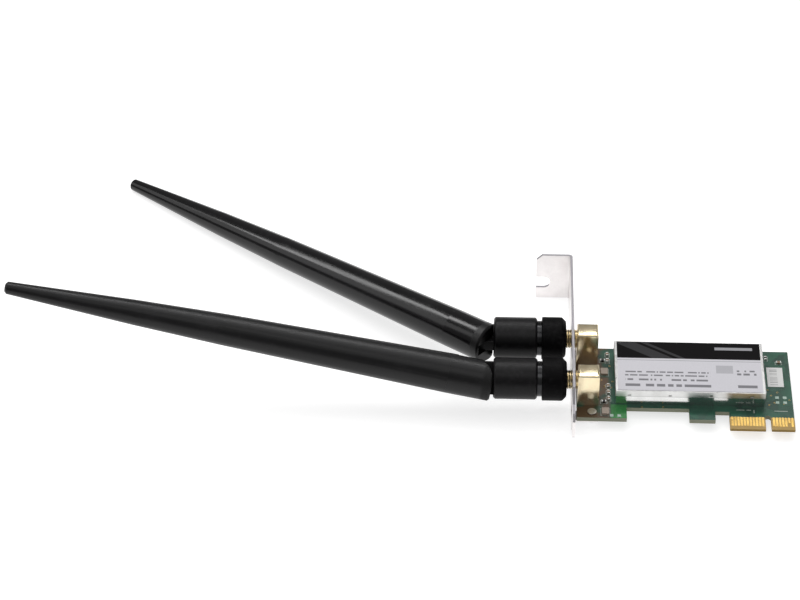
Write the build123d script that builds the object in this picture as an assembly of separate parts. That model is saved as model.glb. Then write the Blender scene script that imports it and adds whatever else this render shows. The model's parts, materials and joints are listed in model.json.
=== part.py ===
from build123d import *
from math import asin, cos, degrees, radians, sin, sqrt
import os

# Sizes in millimetres. The origin is the middle of the key notch at the contact edge, on the middle
# plane of the board. X runs along the board away from the bracket, Y from the contact edge to the
# far edge, and Z out of the component side.

# Circuit board
board_thickness = 1.6
board_depth = 39.2
bracket_to_key = 63.5
board_gap = 0.9
tongue_long = 11.65
tongue_short = 7.65
board_margin = 9.3
key_width = 1.9
key_depth = 6.5
notch_width = 4.6
notch_setback = 8.0
leg_width = 8.5
leg_setback = 3.8
recess_width = 20.5
recess_setback = 9.1
edge_bevel_length = 1.2
edge_bevel_depth = 0.35
hole_clearance = 0.05

# Edge contacts
contact_width = 0.7
contact_pitch = 1.0
contact_end = 5.6
contact_thickness = 0.08
long_row_count = 11
short_row_count = 7
presence_setback = 1.6

# Slot bracket
bracket_thickness = 0.86
bracket_width = 18.42
bracket_length = 79.2
bracket_drop = 2.73
bend_radius = 0.5
blade_width = 10.19
blade_length = 10.5
blade_reach = 7.9
blade_chamfer = 2.0
flange_depth = 11.43
flange_chamfer = 2.0
screw_slot_width = 4.42
screw_slot_depth = 4.9
screw_slot_from_top = 11.7
tab_width = 4.6
tab_length = 8.0
tab_relief = 0.3
near_tab_inset = 2.8
rivet_inset = 5.9
rivet_radius = 1.0
rivet_head_radius = 1.8
rivet_head_height = 0.6
rivet_end_radius = 1.5
rivet_end_height = 0.4

# Coaxial jacks
near_jack_setback = 13.2
far_jack_inset = 5.1
jack_axis_height = 8.2
jack_rise = 4.2
jack_block_length = 7.0
jack_block_width = 6.4
jack_block_chamfer = 0.5
jack_bracket_gap = 1.1
jack_hole_clearance = 0.25
barrel_radius = 3.175
mouth_radius = 2.32
mouth_depth = 2.0
jack_bore_radius = 2.05
jack_drop_size = 3.0
jack_pin_size = 1.1
jack_pin_tip_radius = 0.45
jack_pin_reach = 1.6
post_size = 1.0
post_inset = 0.7
post_length = 0.9
press_clearance = 0.02

# Radio shield and the parts under it
shield_from_left = 12.6
shield_setback = 10.6
shield_length = 49.3
shield_back_inset = 3.1
shield_height = 6.0
skirt_height = 2.5
sheet_thickness = 0.25
lid_clearance = 0.05
frame_flange = 1.5
snap_width = 1.0
snap_height = 0.7
snap_drop = 1.7
snap_pitch = 13.4
snap_count = 4
radio_size = 9.0
radio_height = 0.9
front_end_size = 4.0
front_end_height = 0.8
crystal_length = 3.2
crystal_width = 2.5
crystal_height = 0.8
regulator_length = 2.9
regulator_width = 1.6
regulator_height = 1.1
inductor_size = 4.0
inductor_height = 1.8
memory_length = 4.9
memory_width = 3.9
memory_height = 1.6

# Label, sticker and open parts of the board
label_side_margin = 0.9
label_end_margin = 0.4
label_thickness = 0.12
sticker_length = 9.8
sticker_width = 5.3
sticker_inset = 2.4
sticker_setback = 21.0
chip_length = 1.6
chip_width = 0.8
chip_height = 0.7
terminal_length = 0.35
terminal_overhang = 0.05
filter_length = 2.4
filter_width = 3.0
filter_height = 0.9
filter_from_left = 9.4
pad_size = 1.2
pad_pitch = 2.5
pad_thickness = 0.08

# Antenna coupling
nut_gap = 1.8
nut_radius = 7.1
nut_length = 8.0
nut_chamfer = 1.4
thread_engagement = 5.0
thread_clearance = 0.06
lip_length = 1.4
shell_neck_radius = 2.6
shell_sleeve_radius = 2.25
shell_bore_radius = 2.05
shell_stem_radius = 3.3
shell_stem_length = 5.0
running_clearance = 0.1
contact_radius = 0.75
contact_bore_radius = 0.52
contact_bore_depth = 2.2
lead_radius = 0.6
groove_width = 1.6
ring_radius = 5.8

# Antenna base and elbow
sleeve_radius = 6.85
sleeve_length = 14.4
edge_chamfer = 0.6
stop_gap = 0.2
fold_margin = 0.1
tongue_inset = 1.45
tongue_thickness = 3.4
slot_clearance = 0.3
cheek_clearance = 0.2
cheek_cover = 1.9
pin_radius = 0.9
pin_clearance = 0.05
fork_bridge = 2.3
plug_radius = 5.2
plug_length = 10.0

# Antenna rod
rod_length = 156.5
rod_base_radius = 6.6
rod_waist_radius = 4.95
rod_waist = 98.0
rod_blend = 15.0
rod_tip_radius = 2.1
rod_tip_round = 0.7
rod_bore_radius = 3.85
dipole_radius = 3.3
dipole_sides = 12
dipole_wall = 0.4
dipole_start = 40.0
dipole_length = 26.0
radiator_length = 24.0
radiator_radius = 0.35

# Pose of the antennas: roll of the folding direction from the board plane, and bend at the elbow
near_roll = 54.0
near_bend = 9.8
far_bend = 37.7

board_top = board_thickness / 2
board_left = board_gap - bracket_to_key
shield_left = board_left + shield_from_left
shield_right = shield_left + shield_length
tongue_right = key_width / 2 + tongue_short
board_right = max(tongue_right, shield_right + board_margin)
tongue_left = -key_width / 2 - tongue_long
notch_left = tongue_left - notch_width
leg_left = notch_left - leg_width
recess_left = leg_left - recess_width

bracket_inner = -bracket_to_key
bracket_outer = bracket_inner - bracket_thickness
bracket_low = -board_top - bracket_drop
bracket_high = bracket_low + bracket_width
seat_line = bracket_length - blade_reach
rivet_x = bracket_inner + rivet_inset
jack_axis = board_top + jack_axis_height
jack_lines = {"near": near_jack_setback, "far": board_depth - far_jack_inset}
near_tab = leg_setback + near_tab_inset
mid_tab = (jack_lines["near"] + jack_lines["far"]) / 2
tab_centres = [near_tab, mid_tab]

block_face = bracket_inner + jack_bracket_gap
block_middle = block_face + jack_block_length / 2
nut_start = bracket_outer - nut_gap
barrel_end = nut_start - thread_engagement
post_reach = [s * (jack_block_length / 2 - post_inset) for s in (-1, 1)]
post_spread = [s * (jack_block_width / 2 - post_inset) for s in (-1, 1)]

shield_back = board_depth - shield_back_inset
shield_depth = shield_back - shield_setback
shield_middle = (shield_left + shield_right) / 2
shield_centre = (shield_setback + shield_back) / 2
lid_top = board_top + shield_height
filter_x = board_left + filter_from_left

ring_start = nut_length + running_clearance
sleeve_start = nut_length + groove_width
fold_radius = rod_base_radius + fold_margin
hinge_rise = fold_radius + stop_gap
elbow = sleeve_start + sleeve_length + hinge_rise
thread_radius = barrel_radius + thread_clearance
shell_flange_radius = thread_radius - running_clearance
shell_front = thread_engagement - mouth_depth + running_clearance
shell_back = sleeve_start + shell_stem_length
tongue_radius = sleeve_radius - tongue_inset
tongue_side = tongue_thickness / 2
slot_radius = tongue_radius + slot_clearance
slot_side = tongue_side + cheek_clearance
pin_length = 2 * (rod_base_radius - cheek_cover)
fork_height = slot_radius + fork_bridge
plug_end = fork_height + plug_length
dipole_end = dipole_start + dipole_length
bulk = 3 * nut_radius
far_reach = rod_length * sin(radians(far_bend))
far_roll = degrees(asin((bracket_low + rod_tip_radius - jack_axis) / far_reach))
poses = {"near": (near_roll, near_bend), "far": (far_roll, far_bend)}


def turned(*outline):
    """Return the solid swept round Z by an outline of radius and height pairs."""
    return revolve(Plane.XZ * make_face(Polyline(*outline, close=True)), Axis.Z)


def along_x(radius, start, end, y, z):
    """Return a cylinder between two X positions."""
    return Pos((start + end) / 2, y, z) * Rot(Y=90) * Cylinder(radius, abs(end - start))


def upright(radius, bottom, top, x, y):
    """Return a cylinder between two heights."""
    return Pos(x, y, (bottom + top) / 2) * Cylinder(radius, top - bottom)


def bar(radius, bottom, top):
    """Return an upright six-sided bar on Z."""
    return Pos(0, 0, bottom) * extrude(RegularPolygon(radius, 6), top - bottom)


def rectangle(left, right, front, back):
    """Return a rectangle in the plane of the board."""
    return Pos((left + right) / 2, (front + back) / 2) * Rectangle(right - left, back - front)


def on_board(x, y, length, width, height):
    """Return a block that sits on the component side."""
    return Pos(x, y, board_top + height / 2) * Box(length, width, height)


def chip_part(x, y, quarter_turn=False):
    """Return a two-ended surface-mount part on the component side."""
    body = Pos(0, 0, chip_height / 2) * Box(chip_length, chip_width, chip_height)
    end_height = chip_height + terminal_overhang
    end = Box(terminal_length, chip_width + 2 * terminal_overhang, end_height)
    for side in (-1, 1):
        body += Pos(side * (chip_length - terminal_length) / 2, 0, end_height / 2) * end
    return Pos(x, y, board_top) * Rot(Z=90 if quarter_turn else 0) * body


def make_board():
    """Return the board with its front edge, bevel and holes."""
    outline = rectangle(board_left, board_right, notch_setback, board_depth)
    outline += rectangle(board_left, recess_left, leg_setback, notch_setback)
    outline += rectangle(leg_left, notch_left, leg_setback, notch_setback)
    outline += rectangle(tongue_left, tongue_right, 0, notch_setback)
    outline -= rectangle(recess_left, leg_left, notch_setback, recess_setback)
    key_end = key_depth - key_width / 2
    outline -= Pos(0, key_end / 2) * Rectangle(key_width, key_end)
    outline -= Pos(0, key_end) * Circle(key_width / 2)
    board = extrude(outline, board_top, both=True)
    wedge = [
        (0, board_top),
        (edge_bevel_length, board_top),
        (0, board_top - edge_bevel_depth),
    ]
    bevel = extrude(Plane.YZ * make_face(Polyline(*wedge, close=True)), tongue_right - tongue_left)
    board -= Pos(tongue_left, 0, 0) * bevel
    board -= Pos(tongue_left, 0, 0) * mirror(bevel, Plane.XY)
    for y in tab_centres:
        board -= Pos(rivet_x, y) * Cylinder(rivet_radius + hole_clearance, 2 * board_thickness)
    post_room = post_size + 2 * hole_clearance
    post_hole = Box(post_room, post_room, 2 * board_thickness)
    pin_room = jack_pin_size + 2 * hole_clearance
    for y in jack_lines.values():
        board -= Pos(block_middle, y) * Box(pin_room, pin_room, 2 * board_thickness)
        for dx in post_reach:
            for dy in post_spread:
                board -= Pos(block_middle + dx, y + dy) * post_hole
    return board


def contact_row(start, width, count):
    """Return the centres of a row of contacts in the middle of its part of the tongue."""
    first = start + (width - (count - 1) * contact_pitch) / 2
    return [first + number * contact_pitch for number in range(count)]


def make_contacts(side, presence):
    """Return the contacts of one side, with the shorter presence contact set back."""
    centres = contact_row(tongue_left, tongue_long, long_row_count)
    centres += contact_row(key_width / 2, tongue_short, short_row_count)
    height = side * (board_thickness + contact_thickness) / 2
    bars = []
    for number, x in enumerate(centres):
        start = edge_bevel_length + (presence_setback if number == presence else 0)
        bar = Box(contact_width, contact_end - start, contact_thickness)
        bars.append(Pos(x, (start + contact_end) / 2, height) * bar)
    return Part() + bars


def make_bracket():
    """Return the folded slot bracket with its flange, blade, jack holes and board tabs."""
    middle = (bracket_low + bracket_high) / 2
    blade_end = -blade_reach
    shoulder = blade_end + blade_length
    half_blade = blade_width / 2
    step = bracket_width / 2 - half_blade
    corners = [
        (blade_end, middle - half_blade + blade_chamfer),
        (blade_end + blade_chamfer, middle - half_blade),
        (shoulder - step, middle - half_blade),
        (shoulder, bracket_low),
        (seat_line + bracket_thickness, bracket_low),
        (seat_line + bracket_thickness, bracket_high),
        (shoulder, bracket_high),
        (shoulder - step, middle + half_blade),
        (blade_end + blade_chamfer, middle + half_blade),
        (blade_end, middle + half_blade - blade_chamfer),
    ]
    side_view = Plane(origin=(bracket_outer, 0, 0), x_dir=(0, 1, 0), z_dir=(1, 0, 0))
    plate = extrude(side_view * make_face(Polyline(*corners, close=True)), bracket_thickness)

    free_end = bracket_outer - flange_depth
    end_view = Plane(origin=(0, seat_line, 0), x_dir=(1, 0, 0), z_dir=(0, -1, 0))
    flange_corners = [
        (free_end, bracket_low),
        (bracket_inner, bracket_low),
        (bracket_inner, bracket_high),
        (free_end + flange_chamfer, bracket_high),
        (free_end, bracket_high - flange_chamfer),
    ]
    flange_face = make_face(Polyline(*flange_corners, close=True))
    slot_height = bracket_high - screw_slot_from_top
    slot_straight = screw_slot_depth - screw_slot_width / 2
    slot_mouth = Rectangle(slot_straight, screw_slot_width)
    flange_face -= Pos(free_end + slot_straight / 2, slot_height) * slot_mouth
    flange_face -= Pos(free_end + slot_straight, slot_height) * Circle(screw_slot_width / 2)
    bracket = plate + extrude(end_view * flange_face, -bracket_thickness)
    back = seat_line + bracket_thickness
    outside = bracket.edges().filter_by(Axis.Z).filter_by_position(Axis.Y, back - 0.01, back + 0.01)
    bracket = fillet(outside.sort_by(Axis.X)[-1], bend_radius + bracket_thickness)
    seat = bracket.edges().filter_by(Axis.Z).filter_by_position(Axis.Y, seat_line - 0.01, seat_line + 0.01)
    bracket = fillet(seat.sort_by(Axis.X)[-1], bend_radius)

    for y in jack_lines.values():
        bracket -= along_x(barrel_radius + jack_hole_clearance, 2 * bracket_outer, block_face, y, jack_axis)
    for y in tab_centres:
        window = Box(3 * bracket_thickness, tab_width + 2 * tab_relief, tab_length)
        bracket -= Pos(bracket_inner, y, tab_length / 2 - board_top) * window
        length = tab_length + bracket_thickness
        tab = Box(length, tab_width, bracket_thickness)
        tab_x = bracket_outer + length / 2
        bracket += Pos(tab_x, y, -board_top - bracket_thickness / 2) * tab
        bracket -= upright(rivet_radius + hole_clearance, bracket_low, 0, rivet_x, y)
    return bracket


def make_rivets():
    """Return the rivets that hold the tabs to the board."""
    under = -board_top - bracket_thickness
    rivet = upright(rivet_radius, under, board_top, 0, 0)
    rivet += upright(rivet_head_radius, under - rivet_head_height, under, 0, 0)
    rivet += upright(rivet_end_radius, board_top, board_top + rivet_end_height, 0, 0)
    return Part() + [Pos(rivet_x, y) * rivet for y in tab_centres]


def make_jack_body(y):
    """Return a jack body: square block, threaded barrel and solder posts."""
    rise = jack_axis_height + jack_rise
    block = on_board(block_middle, y, jack_block_length, jack_block_width, rise)
    block = chamfer(block.edges().group_by(Axis.Z)[-1], jack_block_chamfer)
    body = block + along_x(barrel_radius, barrel_end, block_middle, y, jack_axis)
    for dx in post_reach:
        for dy in post_spread:
            height = board_thickness + post_length
            post = Box(post_size, post_size, height)
            body += Pos(block_middle + dx, y + dy, board_top - height / 2) * post
    body -= along_x(mouth_radius, barrel_end - mouth_depth, barrel_end + mouth_depth, y, jack_axis)
    body -= along_x(jack_bore_radius, barrel_end, block_middle + jack_bore_radius, y, jack_axis)
    drop = Box(jack_drop_size, jack_drop_size, jack_axis_height)
    return body - Pos(block_middle, y, board_top + jack_axis_height / 2) * drop


def make_jack_insulator(y):
    """Return the white insulator in the bore of a jack."""
    radius = jack_bore_radius - press_clearance
    end = block_middle + jack_bore_radius - press_clearance
    insulator = along_x(radius, barrel_end + mouth_depth, end, y, jack_axis)
    pin_room = jack_pin_size + 2 * press_clearance
    channel = block_middle + pin_room / 2 - barrel_end
    insulator -= Pos(barrel_end + channel / 2, y, jack_axis) * Box(channel, pin_room, pin_room)
    drop = Box(pin_room, pin_room, jack_axis)
    insulator -= Pos(block_middle, y, jack_axis / 2) * drop
    return insulator


def make_jack_pin(y):
    """Return the centre contact of a jack, bent down to the board."""
    face = barrel_end + mouth_depth
    length = block_middle + jack_pin_size / 2 - face
    pin = Pos(face + length / 2, y, jack_axis) * Box(length, jack_pin_size, jack_pin_size)
    pin += along_x(jack_pin_tip_radius, face - jack_pin_reach, face, y, jack_axis)
    bottom = -board_top - post_length
    drop = Box(jack_pin_size, jack_pin_size, jack_axis - bottom)
    pin += Pos(block_middle, y, (jack_axis + bottom) / 2) * drop
    return pin


def make_shield_lid():
    """Return the pressed lid with its skirt and snap windows."""
    centre = (shield_middle, shield_centre)
    outer = Pos(*centre, lid_top - skirt_height / 2) * Box(shield_length, shield_depth, skirt_height)
    room = Box(shield_length - 2 * sheet_thickness, shield_depth - 2 * sheet_thickness, skirt_height)
    lid = outer - Pos(*centre, lid_top - skirt_height / 2 - sheet_thickness) * room
    window = Box(snap_width, 2 * shield_depth, snap_height)
    for number in range(snap_count):
        x = shield_middle + (number - (snap_count - 1) / 2) * snap_pitch
        lid -= Pos(x, shield_centre, lid_top - snap_drop) * window
    return lid


def make_shield_frame():
    """Return the soldered frame with its inward flange under the lid."""
    inset = sheet_thickness + lid_clearance
    length = shield_length - 2 * inset
    depth = shield_depth - 2 * inset
    height = shield_height - sheet_thickness
    frame = on_board(shield_middle, shield_centre, length, depth, height)
    room = Box(length - 2 * sheet_thickness, depth - 2 * sheet_thickness, height)
    frame -= Pos(shield_middle, shield_centre, board_top + height / 2 - sheet_thickness) * room
    opening = Box(length - 2 * frame_flange, depth - 2 * frame_flange, height)
    frame -= Pos(shield_middle, shield_centre, board_top + height) * opening
    return frame


def make_coupling_nut():
    """Return the coupling nut from its card end, with the lip that the shell holds."""
    lip = nut_length - lip_length
    lip_radius = shell_neck_radius + running_clearance
    return turned(
        (thread_radius, 0),
        (nut_radius - nut_chamfer, 0),
        (nut_radius, nut_chamfer),
        (nut_radius, nut_length),
        (lip_radius, nut_length),
        (lip_radius, lip),
        (thread_radius, lip),
    )


def make_plug_shell():
    """Return the metal shell that carries the nut and stands in the base sleeve."""
    lip = nut_length - lip_length - running_clearance
    shell = turned(
        (0, shell_front),
        (shell_sleeve_radius, shell_front),
        (shell_sleeve_radius, thread_engagement + 2 * running_clearance),
        (shell_flange_radius, thread_engagement + 2 * running_clearance),
        (shell_flange_radius, lip),
        (shell_neck_radius, lip),
        (shell_neck_radius, ring_start),
        (ring_radius, ring_start),
        (ring_radius, sleeve_start),
        (0, sleeve_start),
    )
    shell += bar(shell_stem_radius, sleeve_start, shell_back)
    return shell - upright(shell_bore_radius, shell_front, shell_back, 0, 0)


def make_plug_insulator():
    """Return the insulator in the plug shell."""
    insulator = upright(shell_bore_radius - press_clearance, shell_front, shell_back, 0, 0)
    return insulator - bar(contact_radius + press_clearance, shell_front, shell_back)


def make_plug_contact():
    """Return the centre socket that the jack's pin enters."""
    contact = bar(contact_radius, shell_front, shell_back)
    return contact - upright(contact_bore_radius, shell_front, shell_front + contact_bore_depth, 0, 0)


def make_base_lead():
    """Return the lead from the plug contact to the elbow."""
    return bar(lead_radius, shell_back, elbow - hinge_rise)


def across(radius, width):
    """Return a cylinder along the hinge axis."""
    return Rot(X=90) * Cylinder(radius, width)


def slab(outline, side):
    """Return a slab across the elbow from its outline seen along the hinge axis."""
    return extrude(Plane.XZ * outline, side, both=True)


def make_base_sleeve():
    """Return the moulded base from the hinge, with the tongue that stands in the fork."""
    bottom = -hinge_rise - sleeve_length
    sleeve = turned(
        (0, bottom),
        (sleeve_radius - edge_chamfer, bottom),
        (sleeve_radius, bottom + edge_chamfer),
        (sleeve_radius, -hinge_rise - edge_chamfer),
        (sleeve_radius - edge_chamfer, -hinge_rise),
        (0, -hinge_rise),
    )
    sleeve -= bar(shell_stem_radius + press_clearance, bottom, bottom + shell_stem_length)
    sleeve -= bar(lead_radius + press_clearance, bottom, -hinge_rise)
    neck = rectangle(-tongue_radius, tongue_radius, -hinge_rise, 0)
    sleeve += slab(neck + Circle(tongue_radius), tongue_side)
    return sleeve - across(pin_radius + pin_clearance, tongue_thickness)


def make_elbow_fork():
    """Return the fork at the foot of the rod, with a heel that stops it straight and a plug for the cover.

    The foot is round about the hinge on the folding side, so that it clears the sleeve up to a right angle.
    The slot is open on that side and closed at the back, and the cheeks snap over the ends of the pin.
    """
    fork = turned(
        (0, -fold_radius),
        (rod_base_radius - edge_chamfer, -fold_radius),
        (rod_base_radius, edge_chamfer - fold_radius),
        (rod_base_radius, fork_height),
        (plug_radius, fork_height),
        (plug_radius, plug_end),
        (0, plug_end),
    )
    fork -= slab(rectangle(0, bulk, -bulk, 0), bulk) - across(fold_radius, 3 * bulk)
    straight_way = rectangle(-slot_radius, bulk, -bulk, 0)
    folded_way = rectangle(0, bulk, -bulk, slot_radius)
    fork -= slab(straight_way + folded_way + Circle(slot_radius), slot_side)
    fork -= across(pin_radius + press_clearance, pin_length + 2 * press_clearance)
    return fork - bar(lead_radius + press_clearance, slot_radius, plug_end)


def make_hinge_pin():
    """Return the pin across the elbow."""
    return across(pin_radius, pin_length)


def toward(start, end, distance):
    """Return the point at a distance from one profile point toward another."""
    across_part = end[0] - start[0]
    up_part = end[1] - start[1]
    share = distance / sqrt(across_part**2 + up_part**2)
    return (start[0] + share * across_part, start[1] + share * up_part)


def make_rod_cover():
    """Return the hollow tapered cover of the rod."""
    base = (rod_base_radius, fork_height)
    waist = (rod_waist_radius, rod_waist)
    tip = (rod_tip_radius, rod_length - rod_tip_round)
    socket = plug_radius + press_clearance
    socket_end = plug_end + press_clearance
    return turned(
        (0, rod_waist),
        (rod_bore_radius, rod_waist),
        (rod_bore_radius, socket_end),
        (socket, socket_end),
        (socket, fork_height),
        base,
        toward(waist, base, rod_blend),
        toward(waist, tip, rod_blend),
        tip,
        (rod_tip_radius - rod_tip_round, rod_length),
        (0, rod_length),
    )


def make_dipole():
    """Return the tube of the dipole, closed on the lead at its upper end."""
    tube = extrude(RegularPolygon(dipole_radius, dipole_sides), dipole_length)
    bore = RegularPolygon(dipole_radius - dipole_wall, dipole_sides)
    tube -= extrude(bore, dipole_length - 2 * dipole_wall)
    tube -= bar(lead_radius + press_clearance, 0, dipole_length)
    return Pos(0, 0, dipole_start) * tube


def make_rod_lead():
    """Return the lead in the rod, with its bare wire above the dipole tube."""
    lead = bar(lead_radius, slot_radius, dipole_end)
    return lead + bar(radiator_radius, dipole_end, dipole_end + radiator_length)


def make_antenna(name):
    """Return the named pieces of one antenna in its pose."""
    roll, bend = poses[name]
    fold = Vector(0, cos(radians(roll)), sin(radians(roll)))
    start = Vector(nut_start, jack_lines[name], jack_axis)
    coupling = Plane(origin=start, x_dir=fold, z_dir=(-1, 0, 0)).location
    hinge = Plane(origin=start - Vector(elbow, 0, 0), x_dir=fold, z_dir=(-1, 0, 0)).location
    rod = hinge * Rot(Y=bend)
    return {
        "coupling_nut": coupling * make_coupling_nut(),
        "plug_shell": coupling * make_plug_shell(),
        "plug_insulator": coupling * make_plug_insulator(),
        "plug_contact": coupling * make_plug_contact(),
        "base_lead": coupling * make_base_lead(),
        "base_sleeve": hinge * make_base_sleeve(),
        "elbow_fork": rod * make_elbow_fork(),
        "hinge_pin": rod * make_hinge_pin(),
        "rod_cover": rod * make_rod_cover(),
        "dipole": rod * make_dipole(),
        "rod_lead": rod * make_rod_lead(),
    }


def make_card():
    """Return the named pieces of the card."""
    label_length = shield_length - 2 * label_side_margin
    label_depth = shield_depth - 2 * label_end_margin
    label_place = Pos(shield_middle, shield_centre, lid_top + label_thickness / 2)
    radio_x = shield_middle - radio_size
    power_x = shield_right - 2 * inductor_size
    gap_x = filter_x + filter_length / 2
    sticker_x = board_right - sticker_inset - sticker_width / 2
    sticker_y = sticker_setback + sticker_length / 2
    pad = Box(pad_size, pad_size, pad_thickness)
    pad_z = board_top + pad_thickness / 2
    pads = [Pos(recess_left - k * pad_pitch, leg_setback + pad_size, pad_z) * pad for k in (1, 2)]
    for k in (1, 2):
        pad_y = shield_setback + k * pad_pitch
        pads += [Pos(sticker_x + i * pad_pitch, pad_y, pad_z) * pad for i in (0, 1)]
    open_caps = [chip_part(gap_x, near_jack_setback + k * chip_length, True) for k in (0, 2, 4)]
    open_caps += [chip_part(gap_x, jack_lines["far"] + k * chip_length, True) for k in (-1, 1)]
    open_caps += [chip_part(sticker_x + chip_length, sticker_setback + sticker_length + 3 * chip_width)]
    open_resistors = [chip_part(gap_x - chip_length, y - chip_length) for y in jack_lines.values()]
    open_resistors += [chip_part(shield_right + chip_length, shield_back - chip_width, True)]
    inner_caps = [chip_part(radio_x + radio_size, shield_centre + k * chip_length) for k in (-3, -1, 1, 3)]
    inner_caps += [chip_part(power_x + inductor_size, shield_centre + k * chip_length) for k in (-2, 0, 2)]
    filter_lines = (near_tab, mid_tab + filter_width)
    filters = [on_board(filter_x, y, filter_length, filter_width, filter_height) for y in filter_lines]
    front_end_x = shield_left + 1.5 * front_end_size
    front_end = Box(front_end_size, front_end_size, front_end_height)
    front_end_z = board_top + front_end_height / 2
    front_lines = [shield_centre + k * front_end_size for k in (-1, 1)]
    front_ends = [Pos(front_end_x, y, front_end_z) * front_end for y in front_lines]
    crystal_y = shield_back - 2 * crystal_width
    regulator_y = shield_back - 2 * inductor_size
    inductor_y = shield_back - inductor_size
    memory_y = shield_setback + memory_length
    card = {
        "board": make_board(),
        "contacts_component_side": make_contacts(1, long_row_count + short_row_count - 2),
        "contacts_solder_side": make_contacts(-1, 0),
        "bracket": make_bracket(),
        "bracket_rivets": make_rivets(),
        "shield_frame": make_shield_frame(),
        "shield_lid": make_shield_lid(),
        "shield_label": label_place * Box(label_length, label_depth, label_thickness),
        "board_sticker": on_board(sticker_x, sticker_y, sticker_width, sticker_length, label_thickness),
        "ceramic_filters": Part() + filters,
        "test_pads": Part() + pads,
        "open_capacitors": Part() + open_caps,
        "open_resistors": Part() + open_resistors,
        "radio_chip": on_board(radio_x, shield_centre, radio_size, radio_size, radio_height),
        "front_end_chips": Part() + front_ends,
        "crystal": on_board(radio_x, crystal_y, crystal_length, crystal_width, crystal_height),
        "regulator": on_board(power_x, regulator_y, regulator_width, regulator_length, regulator_height),
        "power_inductor": on_board(power_x, inductor_y, inductor_size, inductor_size, inductor_height),
        "memory_chip": on_board(power_x, memory_y, memory_width, memory_length, memory_height),
        "inner_capacitors": Part() + inner_caps,
    }
    for name, y in jack_lines.items():
        card[name + "_jack_body"] = make_jack_body(y)
        card[name + "_jack_insulator"] = make_jack_insulator(y)
        card[name + "_jack_pin"] = make_jack_pin(y)
    return card


os.makedirs("parts", exist_ok=True)
pieces = make_card()
for antenna in poses:
    for piece, solid in make_antenna(antenna).items():
        pieces[antenna + "_" + piece] = solid
for name, solid in pieces.items():
    export_step(solid, "parts/" + name + ".step")
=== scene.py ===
import json
import logging
import math
from dataclasses import dataclass
from enum import Enum
from typing import Any, ClassVar, Dict, List, Optional, Sequence, Tuple, Union

import bmesh
import bpy
from mathutils import Matrix, Vector


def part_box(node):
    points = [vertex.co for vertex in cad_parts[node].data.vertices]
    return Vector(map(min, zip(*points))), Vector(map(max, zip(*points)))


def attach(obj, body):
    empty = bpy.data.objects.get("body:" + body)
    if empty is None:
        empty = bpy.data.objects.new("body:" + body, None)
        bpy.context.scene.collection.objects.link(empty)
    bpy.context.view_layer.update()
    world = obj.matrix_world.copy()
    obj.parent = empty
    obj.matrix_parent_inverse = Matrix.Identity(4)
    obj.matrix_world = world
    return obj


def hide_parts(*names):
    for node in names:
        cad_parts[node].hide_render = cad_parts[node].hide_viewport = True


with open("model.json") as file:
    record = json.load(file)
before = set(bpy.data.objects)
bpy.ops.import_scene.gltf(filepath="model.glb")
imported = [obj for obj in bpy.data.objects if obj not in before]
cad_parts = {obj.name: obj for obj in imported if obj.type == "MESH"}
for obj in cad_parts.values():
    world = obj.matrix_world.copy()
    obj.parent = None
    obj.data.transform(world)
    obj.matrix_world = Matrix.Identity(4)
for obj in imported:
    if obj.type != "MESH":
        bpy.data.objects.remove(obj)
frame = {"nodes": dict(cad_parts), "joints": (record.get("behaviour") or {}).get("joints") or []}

LOG = logging.getLogger("wireless_card")
MM = 0.001
MERGE = 1e-6
QUARTER_TURN = math.pi / 2
DRAWN_OUT = 0.96
DIAGONAL = 0.7071

Colour = Tuple[float, float, float]
Point2 = Tuple[float, float]
Point3 = Tuple[float, float, float]
Zone = Tuple[float, float, float, float]
Value = Union["Sock", float, Sequence[float]]


class Sock:
    """A node's result, on which plain arithmetic can be written."""

    def __init__(self, tree: "NodeTree", socket: bpy.types.NodeSocket) -> None:
        """Wrap an output socket of a tree."""
        self.tree = tree
        self.socket = socket

    def __add__(self, other: Value) -> "Sock":
        """Add."""
        return self.tree.math("ADD", self, other)

    def __mul__(self, other: Value) -> "Sock":
        """Multiply."""
        return self.tree.math("MULTIPLY", self, other)

    __radd__ = __add__
    __rmul__ = __mul__

    def __sub__(self, other: Value) -> "Sock":
        """Subtract."""
        return self.tree.math("SUBTRACT", self, other)

    def __rsub__(self, other: Value) -> "Sock":
        """Subtract from a number."""
        return self.tree.math("SUBTRACT", other, self)

    def __truediv__(self, other: Value) -> "Sock":
        """Divide."""
        return self.tree.math("DIVIDE", self, other)

    def __gt__(self, other: Value) -> "Sock":
        """Give 1 where this is the greater, else 0."""
        return self.tree.math("GREATER_THAN", self, other)

    def __lt__(self, other: Value) -> "Sock":
        """Give 1 where this is the smaller, else 0."""
        return self.tree.math("LESS_THAN", self, other)

    def __abs__(self) -> "Sock":
        """Give the size without its sign."""
        return self.tree.math("ABSOLUTE", self)


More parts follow.
